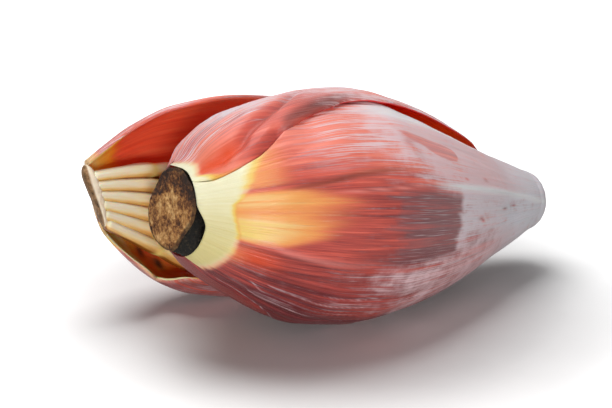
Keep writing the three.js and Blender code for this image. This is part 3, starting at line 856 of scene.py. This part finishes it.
def build_stem():
    """The stub, from the middle of its cut face over the rim and flank into the bud."""
    sides = 200
    angle = np.linspace(0, 360, sides, endpoint=False)[None, :]
    turn = np.radians(angle)
    lumps = 1 + 0.022 * streaks(angle, 0, 18, 9, 91) + 0.014 * streaks(angle, 0, 6, 9, 92)
    for height, middle, width in STEM_LUMPS:
        lumps = lumps + height * bump(angle - middle, width)
    face_radius = STEM_RADIUS * 1.01 * lumps

    face = np.linspace(0.03, 1.0, 46)[:, None]
    across, upward = face * np.sin(turn) * STEM_RADIUS, face * np.cos(turn) * STEM_RADIUS
    rough = 0.5 * streaks(across, upward, 5.0, 5.0, 93) + 0.25 * streaks(across, upward, 1.3, 1.3, 94)
    edge = unit((1 - face) / 0.07)
    rounding = 1.1 * (1 - np.sqrt(1 - (1 - edge) ** 2))
    cut = -STEM_STUB + 0.3 + 0.5 * face * np.sin(turn)
    shade = ramp(upward, 2, 15)
    sections = [(cut + rounding + rough * edge, face_radius * face, 1.0, ramp(face, 0.82, 1.0), shade)]

    flank = np.linspace(0, 1, 26)[1:, None]
    x = lerp(cut[-1:] + 1.1, STEM_FLANK_END, flank)
    rough = 1 + 0.02 * streaks(angle, x, 9, 2.2, 95) + 0.012 * streaks(angle, x, 3, 0.9, 96)
    swell = (5.8 * bump(angle - 132, 31) - 0.5) * ramp(flank, 0, 0.75)
    tucked = 6.4 * bump(angle - 68, 36) * ramp(flank, 0, 0.05)
    sections.append((x, (face_radius + swell - tucked) * rough, 0.0, 1.0, 0.0))

    core = np.linspace(0, 1, 5)[:, None]
    x = lerp(STEM_FLANK_END, STEM_CORE_LENGTH, core)
    sections.append((x, STEM_CORE_RADIUS, 0.0, 1.0, 0.0))
    rows = (len(face), len(flank), len(core))
    x, radius, on_face, rim, shade = (
        np.concatenate([np.broadcast_to(part[i], (count, sides)) for part, count in zip(sections, rows)])
        for i in range(5)
    )
    rings = from_bud(x, -radius * np.sin(turn) * STEM_FLATTENING, radius * np.cos(turn))
    marks = {"face": on_face[:, ::-1], "rim": rim[:, ::-1], "shade": shade[:, ::-1]}
    stem = tube("peduncle_stub", rings[:, ::-1], marks, [stem_wood("stem_wood")])
    show(stem, "cut_stem", "peduncle")


# -------- the loose bract and its florets
loose_top = curve(
    (0, 78.4), (11.5, 85), (25.5, 92.4), (44, 98.6), (63, 100.2), (100, 95), (125, 86), (150, 71),
    (LOOSE_LENGTH, 46),
)
loose_bottom = curve(
    (0, 47.6), (7.5, 37.6), (16.5, 27.0), (24, 19.2), (33.5, 11.8), (43.5, 6.3), (56, 2.6), (70, -0.4),
    (90, -0.4), (115, 4), (145, 20), (LOOSE_LENGTH, 40),
)
loose_side = curve(
    (0, 36), (16.5, 36), (33.5, 35), (45, 33), (60, 31), (93.5, 32), (133.5, 32), (LOOSE_LENGTH, 29),
)
loose_hollow = curve(
    (0, 10.4), (7.5, 14.5), (16.5, 18.5), (33.5, 24), (53.5, 28), (93.5, 30), (133.5, 23), (160, 11),
    (LOOSE_LENGTH, 2.4),
)
loose_lower_margin = curve(
    (0, 4), (16.5, -12), (23, -10), (33, -38), (43, -43), (75, -36), (120, -25), (LOOSE_LENGTH, -5),
)
loose_upper_margin = curve((0, 184), (30, 178), (100, 176), (LOOSE_LENGTH, 184))
loose_lean = curve((0, 4), (40, 0), (LOOSE_LENGTH, 0))


def loose_point(x, angle, inset):
    turn = np.radians(angle)
    middle = (loose_top(x) + loose_bottom(x)) / 2
    half_height = (loose_top(x) - loose_bottom(x)) / 2 - inset
    rolled = unit(1 - (angle - loose_lower_margin(x)) / 28) ** 2
    flare = LOOSE_FLARE * rolled * span(x, 8, 22, 48, 66)
    y = loose_side(x) - loose_lean(x) * np.cos(turn) + (loose_hollow(x) - inset) * np.sin(turn) - flare
    z = np.maximum(middle - half_height * np.cos(turn), 0.0)
    return np.stack(np.broadcast_arrays(x, y, z), axis=-1) + LOOSE_ORIGIN


def loose_marks(along, angle):
    wander = streaks(angle, along, 7, 30, 71)
    rim = bump(angle - loose_upper_margin(along), 7.5)
    from_low_rim = angle - loose_lower_margin(along)
    low_rim = bump(from_low_rim, 8.0)
    base = 0.85 * fall(along + 2 * wander, 5, 28)
    low_end = low_rim * fall(along, 34, 52)
    hollow = fall(angle, 15, 70) * span(along, 2, 10, 40, 90)
    spots = bump(along - 25.5, 2.4) * bump(angle - 40, 6)
    spots = spots + bump(along - 35, 2.8) * bump(angle - 33, 6)
    # Painted shade inside the hollow; the spots are the bract's own.
    shade = hollow * ramp(along, 14, 40) * (1 - bump(from_low_rim, 40.0))
    pale = 0.85 * rim * span(along, 2, 10, 42, 56) + 0.3 * rim
    deep = 0.35 - 0.35 * ramp(angle, 120, 165) * ramp(along, 35, 70) + 0.35 * fall(angle, 0, 60)
    # Orange towards the base and in the hollow; the bright band along the low rim is painted light, where
    # the rim would catch the light.
    glow = base + 0.5 * hollow + 0.8 * bump(from_low_rim, 40.0) * fall(along, 26, 46)
    return bract_marks(
        along, angle, warm=0.8 * fall(along, 1, 8) + 0.22 * low_end,
        cream=0.4 * bump(from_low_rim, 4.0) * span(along, 8, 16, 22, 30),
        deep=deep, pale=unit(pale), dark=unit(0.3 * shade + 0.9 * spots),
        bloom=0.3 + 0.2 * ramp(along, 90, 160), grey=0.2, glow=unit(glow),
    )


def build_loose_bract():
    along = eased(190, 0.35)[:, None] * LOOSE_LENGTH
    first, last = loose_lower_margin(along), loose_upper_margin(along)
    angle = first + (last - first) * eased(150, 0.6)[None, :]
    along = np.broadcast_to(along, angle.shape)
    x = along + LOOSE_HEEL * (1 - along / LOOSE_LENGTH) * fall(angle, 80, 165)
    thickness = np.minimum(LOOSE_THICKNESS, 0.4 * loose_hollow(x))
    reach = np.radians(np.minimum(angle - first, last - angle)) * 30.0
    ripple = 0.35 * streaks(angle, along, 7, 70, 73) + 0.12 * streaks(angle, along, 2.3, 40, 74)
    ripple = ripple * ramp(along, 3, 20) * ramp(loose_point(x, angle, 0.0)[..., 2], 1.0, 6.0)
    outside, inside = rounded_rim(-ripple, thickness, reach)
    skin = bract_skin("loose_bract_skin", 5.0)
    lining = bract_lining("loose_bract_lining", 6.0, glossy=0.25, thin=0.75, reach=0.008)
    piece = sheet(
        "loose_bract_skin", loose_point(x, angle, outside), loose_point(x, angle, inside),
        loose_marks(along, angle), [skin, lining],
    )
    show(piece, "bract_red", "loose_bract")


def bezier(a, b, c, t):
    return (1 - t) ** 2 * a + 2 * t * (1 - t) * b + t * t * c


floret_thickness = curve(
    (0, 0.4), (0.02, 0.72), (0.08, 0.78), (0.26, 0.9), (0.42, 1.03), (0.51, 0.98), (0.56, 0.88),
    (0.66, 0.98), (0.88, 0.8), (0.97, 0.5), (1, 0.18),
)


def floret(node, place, behind, material):
    """Place runs from 0 for the uppermost floret to 1 for the lowest."""
    base = lerp(ROW_TOP, ROW_BOTTOM, place) + np.array([0, behind, 0])
    start_pitch = math.radians(lerp(-1, -32, place))
    end_pitch = math.radians(lerp(-14, -38, place))
    drift = 0.1 if behind else 0.05
    reach = FLORET_LENGTH / 2 + 1.2 * math.sin(7 * place)
    bend = base + reach * np.array([math.cos(start_pitch), drift, math.sin(start_pitch)])
    end = bend + reach * np.array([math.cos(end_pitch), drift, math.sin(end_pitch)])
    steps = np.linspace(0, 1, 57)[:, None, None]
    centre = bezier(base, bend, end, steps)
    forward = np.gradient(centre[:, 0, :], axis=0)
    forward = forward / np.linalg.norm(forward, axis=1, keepdims=True)
    across = np.cross([0.0, 1.0, 0.0], forward)
    across = across / np.linalg.norm(across, axis=1, keepdims=True)
    side = np.cross(forward, across)
    turn = np.linspace(0, 2 * math.pi, 30, endpoint=False)[None, :]
    t = steps[:, :, 0]
    seed = int(100 + 20 * place + 10 * (behind > 0))
    radius = FLORET_RADIUS * floret_thickness(t) * (1 + 0.05 * np.cos(3 * turn + place * 4))
    radius = radius * (1 + 0.07 * streaks(np.degrees(turn), t * FLORET_LENGTH, 30, 14, seed))
    rings = centre + radius[..., None] * (
        np.cos(turn)[..., None] * across[:, None, :] * 1.06 + np.sin(turn)[..., None] * side[:, None, :]
    )
    # Painted shade: darker on each floret's underside, further from its base, and more on the lower
    # florets.
    below = 0.5 * ramp(np.cos(turn), -0.3, 0.6) + 0.8 * ramp(np.cos(turn), 0.5, 1.0)
    shade = 0.04 + 0.95 * below + 0.3 * ramp(t, 0.15, 0.5) * (0.3 + 0.5 * place)
    marks = {
        "along": t * FLORET_LENGTH, "angle": np.degrees(turn), "shade": shade,
        "joint": 0.9 * bump(t - 0.525, 0.04), "tip": ramp(t, 0.85, 1.0),
    }
    piece = tube(f"{node}_skin", rings + LOOSE_ORIGIN, marks, [material])
    show(piece, "floret_cream", node)


def build_cushion():
    """The pad behind both rows of florets, and the scar at its outer end."""
    place = np.linspace(-0.26, 1.08, 60)[:, None]
    turn = np.linspace(0, 2 * math.pi, 40, endpoint=False)[None, :]
    middle = lerp(ROW_TOP, ROW_BOTTOM, place[..., None])
    taper = np.sqrt(unit(1 - ((place - 0.41) / 0.67) ** 4))
    wide = lerp(3.4, 1.1, ramp(place, -0.1, 0.9)) * taper
    deep = lerp(4.6, 4.0, place) * taper
    rough = 1 + 0.05 * streaks(np.degrees(turn), place * 25, 20, 2.5, 131)
    overlap = 1.8 * unit(np.cos(turn)) * ramp(place, -0.2, 0.6) * taper
    x = middle[..., 0] - 0.6 + wide * np.cos(turn) * rough + overlap
    y = middle[..., 1] + 1.6 + deep * np.sin(turn) * rough
    rings = np.stack(np.broadcast_arrays(x, y, middle[..., 2]), axis=-1)
    marks = {"scar": ramp(-np.cos(turn), 0.3, 0.62)}
    piece = tube("floret_cushion_pad", rings + LOOSE_ORIGIN, marks, [cushion_skin("cushion_skin")])
    show(piece, "cut_stem", "floret_cushion")


def build_hand():
    material = floret_skin("floret_skin")
    rows = (("front", FLORET_COUNT, 0.0, 0.0), ("rear", FLORET_COUNT - 1, 0.5, REAR_ROW_OFFSET))
    for row, count, stagger, behind in rows:
        for i in range(count):
            place = (i + stagger) / (FLORET_COUNT - 1)
            floret(f"floret_{row}_{i + 1}", place, behind, material)
    build_cushion()


# -------- floor, light and camera
CAMERA_AZIMUTH = math.radians(-36)
CAMERA_ELEVATION = math.radians(18)
CAMERA_DISTANCE = 0.700
LENS_MM = 86.5
LOOK_AT_FROM_JUNCTION = np.array([81.6, 21.1, -19.0])
LOOK_AT = Vector(((BUD_ORIGIN + LOOK_AT_FROM_JUNCTION) * MM).tolist())
FLOOR_HALF_SIZE = 6.0
LEFT = Vector((-math.cos(CAMERA_AZIMUTH), -math.sin(CAMERA_AZIMUTH), 0))
AWAY = Vector((-math.sin(CAMERA_AZIMUTH), math.cos(CAMERA_AZIMUTH), 0))
UP = Vector((0, 0, 1))


def seen_directly(r):
    """1 for rays from the camera, and for what gloss and glass show of them."""
    path = r.add("ShaderNodeLightPath").outputs
    seen = r.maths("MAXIMUM", path["Is Camera Ray"], path["Is Glossy Ray"])
    return r.maths("MAXIMUM", seen, path["Is Transmission Ray"])


def build_floor():
    """White to the camera, and duller in what it throws back at the object. Away from the object it also
    glows to the camera: painted light that fades out the outer part of its shadow.
    """
    r = Recipe(bpy.data.materials.new("pale_floor"))
    direct = seen_directly(r)
    grain = r.noise(r.place(40, 0.0), 2)
    tone = r.ramp(grain, (0.3, "#f6f6f6"), (0.7, "#f9f9f9"))
    tone = r.mix(direct, "#a8a4a2", tone)
    surface = r.add("ShaderNodeBsdfDiffuse", {"Color": tone}).outputs[0]
    place = r.add("ShaderNodeTexCoord").outputs["Object"]
    distance = r.add("ShaderNodeVectorMath", {0: place}, operation="LENGTH").outputs["Value"]
    # Painted light: a glow seen only by the camera, growing from 9 to 20 cm from the origin, lightens the
    # outer part of the shadow.
    painted_floor_glow = r.times(direct, r.spread(distance, 0.09, 0.2, 0.0, 0.8))
    glow = r.add("ShaderNodeEmission", {"Color": (1, 1, 1, 1), "Strength": painted_floor_glow}).outputs[0]
    total = r.add("ShaderNodeAddShader", {0: surface, 1: glow}).outputs[0]
    r.add("ShaderNodeOutputMaterial", {"Surface": total})
    size = FLOOR_HALF_SIZE
    z = cad_low.z
    corners = [(-size, -size, z), (size, -size, z), (size, size, z), (-size, size, z)]
    mesh = bpy.data.meshes.new("floor")
    mesh.from_pydata(corners, [], [(0, 1, 2, 3)])
    mesh.materials.append(r.owner)
    floor = add_object("floor", mesh)


def build_world(ambient):
    world = bpy.data.worlds.new("studio")
    bpy.context.scene.world = world
    r = Recipe(world)
    strength = r.plus(r.times(seen_directly(r), 1.0 - ambient), ambient)
    sky = r.add("ShaderNodeBackground", {"Color": (1, 1, 1, 1), "Strength": strength}).outputs[0]
    r.add("ShaderNodeOutputWorld", {"Surface": sky})


def soft_lamp(name, direction, distance, size, share):
    """A square lamp. Share is the part of a full plain light that it gives at the object."""
    data = bpy.data.lights.new(name, "AREA")
    data.size = size
    data.energy = share * math.pi ** 2 * distance ** 2
    lamp = add_object(name, data)
    toward = direction.normalized()
    lamp.location = LOOK_AT + toward * distance
    lamp.rotation_euler = toward.to_track_quat("Z", "Y").to_euler()


def build_camera():
    data = bpy.data.cameras.new("camera")
    data.sensor_width = 36.0
    data.lens = LENS_MM
    camera = add_object("camera", data)
    back = -AWAY * math.cos(CAMERA_ELEVATION) + UP * math.sin(CAMERA_ELEVATION)
    camera.location = LOOK_AT + back * CAMERA_DISTANCE
    camera.rotation_euler = back.to_track_quat("Z", "Y").to_euler()
    bpy.context.scene.camera = camera


# -------- the scene
build_camera()
build_floor()
build_world(ambient=0.11)
soft_lamp("key", LEFT * 0.2 + UP + AWAY * 0.18, distance=1.0, size=0.7, share=0.8)
soft_lamp("fill", -AWAY + UP * 0.08, distance=1.3, size=0.26, share=0.6)

build_bud()
build_stem()
build_loose_bract()
build_hand()

bpy.context.scene.view_settings.view_transform = "Standard"
